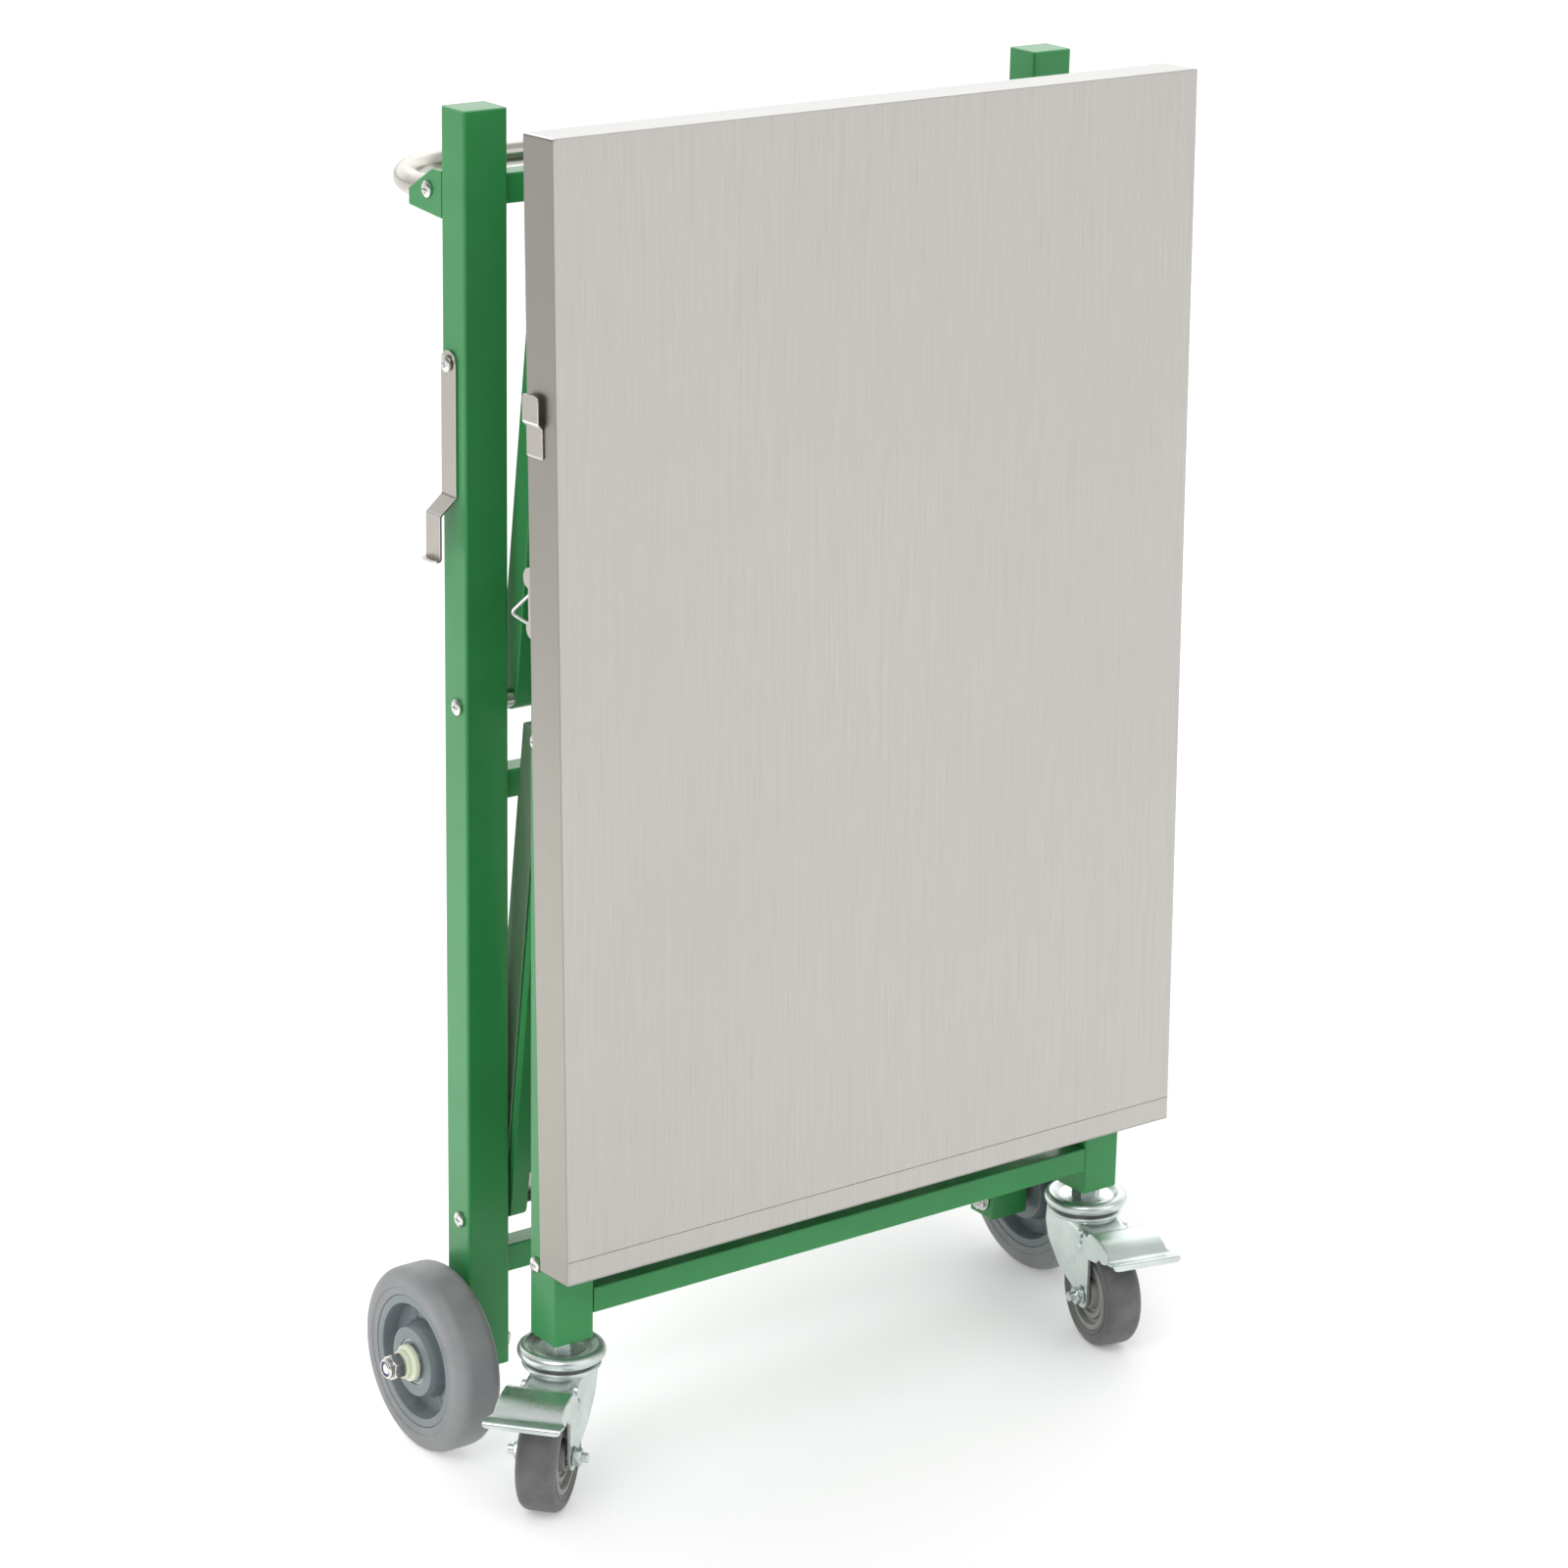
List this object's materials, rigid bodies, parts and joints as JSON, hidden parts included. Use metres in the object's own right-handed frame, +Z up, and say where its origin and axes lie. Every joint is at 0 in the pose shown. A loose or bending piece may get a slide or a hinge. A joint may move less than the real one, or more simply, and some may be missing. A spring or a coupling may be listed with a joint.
{
  "type": "folding utility cart",
  "caption": "Folding hand cart: a sliding tilting table top, a two-part folding shelf, push handle, fixed rear wheels and braked swivel casters, folded upright.",
  "frame": {"origin": "centre of the bounding box's footprint, on the floor", "axes": "+Z up, +Y from the table top towards the push handle, +X to the right of a person who faces the table top's front"},
  "size_m": [0.7288, 0.3932, 1.0756],
  "materials": {
    "green_powder_coat": "satin powder coat",
    "brushed_stainless": "fine brushed grain along the length",
    "zinc_plate": "bright zinc plate, faintly blue",
    "bolt_steel": "bright steel",
    "grey_tyre_rubber": "mid-grey rubber",
    "grey_rim_plastic": "blue-grey moulded plastic",
    "dark_caster_rubber": "dark grey rubber",
    "caster_rim_plastic": "grey moulded plastic",
    "cream_nylon": "cream nylon"
  },
  "bodies": {
    "rear_frame": {"rear_post_left": "green_powder_coat", "rear_post_right": "green_powder_coat", "rear_crossbar_upper": "green_powder_coat", "rear_crossbar_middle": "green_powder_coat", "rear_crossbar_lower": "green_powder_coat", "handle": "brushed_stainless", "handle_bracket_left": "green_powder_coat", "handle_bracket_right": "green_powder_coat", "handle_bolt_left": "bolt_steel", "handle_bolt_right": "bolt_steel", "axle_left": "bolt_steel", "axle_right": "bolt_steel", "axle_bush_left": "cream_nylon", "axle_bush_right": "cream_nylon", "upper_pivot_bolt_left": "bolt_steel", "upper_pivot_bolt_right": "bolt_steel", "lower_pivot_bolt_left": "bolt_steel", "lower_pivot_bolt_right": "bolt_steel", "hook_screw": "bolt_steel"},
    "rear_wheel_left": {"rear_rim_left": "grey_rim_plastic", "rear_tyre_left": "grey_tyre_rubber"},
    "rear_wheel_right": {"rear_rim_right": "grey_rim_plastic", "rear_tyre_right": "grey_tyre_rubber"},
    "hook_strap": {"lock_hook": "brushed_stainless"},
    "upper_rear_link": {"upper_frame_rear": "green_powder_coat", "upper_hinge_rod": "bolt_steel"},
    "upper_front_link": {"upper_frame_front": "green_powder_coat"},
    "lower_rear_link": {"lower_frame_rear": "green_powder_coat", "lower_tray_rear": "brushed_stainless"},
    "lower_front_link": {"lower_frame_front": "green_powder_coat", "lower_tray_front": "brushed_stainless"},
    "front_frame": {"front_post_left": "green_powder_coat", "front_post_right": "green_powder_coat", "front_crossbar_lower": "green_powder_coat", "front_crossbar_upper": "green_powder_coat", "front_bolt_upper_left": "bolt_steel", "front_bolt_upper_right": "bolt_steel", "front_bolt_lower_left": "bolt_steel", "front_bolt_lower_right": "bolt_steel", "caster_race_left": "zinc_plate", "caster_race_right": "zinc_plate"},
    "table_carriage": {"slide_carriage_left": "bolt_steel", "slide_carriage_right": "bolt_steel"},
    "table_top": {"top_tray": "brushed_stainless", "slide_rail_left": "brushed_stainless", "slide_rail_right": "brushed_stainless", "keeper_clip": "brushed_stainless", "latch_plate": "brushed_stainless"},
    "latch_arm": {"latch_lever": "brushed_stainless"},
    "latch_wire": {"latch_bail": "bolt_steel"},
    "caster_swivel_left": {"caster_fork_left": "zinc_plate", "caster_axle_left": "zinc_plate"},
    "caster_wheel_left": {"caster_rim_left": "caster_rim_plastic", "caster_tyre_left": "dark_caster_rubber"},
    "brake_left": {"brake_pedal_left": "zinc_plate"},
    "caster_swivel_right": {"caster_fork_right": "zinc_plate", "caster_axle_right": "zinc_plate"},
    "caster_wheel_right": {"caster_rim_right": "caster_rim_plastic", "caster_tyre_right": "dark_caster_rubber"},
    "brake_right": {"brake_pedal_right": "zinc_plate"}
  },
  "joints": [
    {"name": "fold", "type": "hinge", "parent": "rear_frame", "child": "upper_rear_link", "pos_m": [0.00899, 0.03712, 0.6154], "axis": [1, 0, 0], "range_deg": [0, 82.72]},
    {"name": "upper_apex", "type": "hinge", "parent": "upper_rear_link", "child": "upper_front_link", "pos_m": [0.00899, -0.0154, 1.02706], "axis": [1, 0, 0], "range_deg": [-165.46, 0]},
    {"name": "front_frame_hinge", "type": "hinge", "parent": "upper_front_link", "child": "front_frame", "pos_m": [0.00899, -0.06792, 0.6154], "axis": [1, 0, 0], "range_deg": [0, 82.73]},
    {"name": "shelf_rear_hinge", "type": "hinge", "parent": "rear_frame", "child": "lower_rear_link", "pos_m": [0.00899, 0.03712, 0.19], "axis": [1, 0, 0], "range_deg": [0, 82.73]},
    {"name": "shelf_apex", "type": "hinge", "parent": "lower_rear_link", "child": "lower_front_link", "pos_m": [0.00899, -0.0154, 0.60166], "axis": [1, 0, 0], "range_deg": [-165.46, 0]},
    {"name": "table_turn", "type": "hinge", "parent": "front_frame", "child": "table_carriage", "pos_m": [0.00899, -0.10587, 0.653], "axis": [1, 0, 0], "range_deg": [-88.44, 0]},
    {"name": "table_slide", "type": "slide", "parent": "table_carriage", "child": "table_top", "axis": [0, 0.0272, 0.9996], "range_m": [0, 0.428]},
    {"name": "hook_swing", "type": "hinge", "parent": "rear_frame", "child": "hook_strap", "pos_m": [-0.27751, 0.04532, 0.882], "axis": [1, 0, 0], "range_deg": [-40, 270]},
    {"name": "latch_lever_swing", "type": "hinge", "parent": "table_top", "child": "latch_arm", "pos_m": [0.00899, -0.0808, 0.74685], "axis": [1, 0, 0], "range_deg": [-5, 120]},
    {"name": "latch_bail_swing", "type": "hinge", "parent": "latch_arm", "child": "latch_wire", "pos_m": [0.00899, -0.08105, 0.73786], "axis": [1, 0, 0], "range_deg": [-60, 120]},
    {"name": "rear_wheel_spin_left", "type": "hinge", "parent": "rear_frame", "child": "rear_wheel_left", "pos_m": [0.00899, 0.04112, 0.076], "axis": [1, 0, 0], "continuous": true},
    {"name": "rear_wheel_spin_right", "type": "hinge", "parent": "rear_frame", "child": "rear_wheel_right", "pos_m": [0.00899, 0.04112, 0.076], "axis": [1, 0, 0], "continuous": true},
    {"name": "caster_swing_left", "type": "hinge", "parent": "front_frame", "child": "caster_swivel_left", "pos_m": [-0.25651, -0.07662, 0.1288], "axis": [0, 0, 1], "range_deg": [-45, 190]},
    {"name": "caster_spin_left", "type": "hinge", "parent": "caster_swivel_left", "child": "caster_wheel_left", "pos_m": [-0.28519, -0.10155, 0.045], "axis": [0.6561, -0.7547, 0], "continuous": true},
    {"name": "brake_press_left", "type": "hinge", "parent": "caster_swivel_left", "child": "brake_left", "pos_m": [-0.29009, -0.10581, 0.0923], "axis": [0.6561, -0.7547, 0], "range_deg": [0, 12]},
    {"name": "caster_swing_right", "type": "hinge", "parent": "front_frame", "child": "caster_swivel_right", "pos_m": [0.27449, -0.07662, 0.1288], "axis": [0, 0, 1], "range_deg": [-135, 105]},
    {"name": "caster_spin_right", "type": "hinge", "parent": "caster_swivel_right", "child": "caster_wheel_right", "pos_m": [0.26594, -0.11364, 0.045], "axis": [0.9744, -0.225, 0], "continuous": true},
    {"name": "brake_press_right", "type": "hinge", "parent": "caster_swivel_right", "child": "brake_right", "pos_m": [0.26448, -0.11998, 0.0923], "axis": [0.9744, -0.225, 0], "range_deg": [0, 12]}
  ],
  "couplings": [
    {"joint": "upper_apex", "follows": "fold", "ratio": -2},
    {"joint": "front_frame_hinge", "follows": "fold", "ratio": 1},
    {"joint": "shelf_rear_hinge", "follows": "fold", "ratio": 1},
    {"joint": "shelf_apex", "follows": "fold", "ratio": -2},
    {"joint": "table_turn", "follows": "fold", "ratio": -1.069}
  ]
}
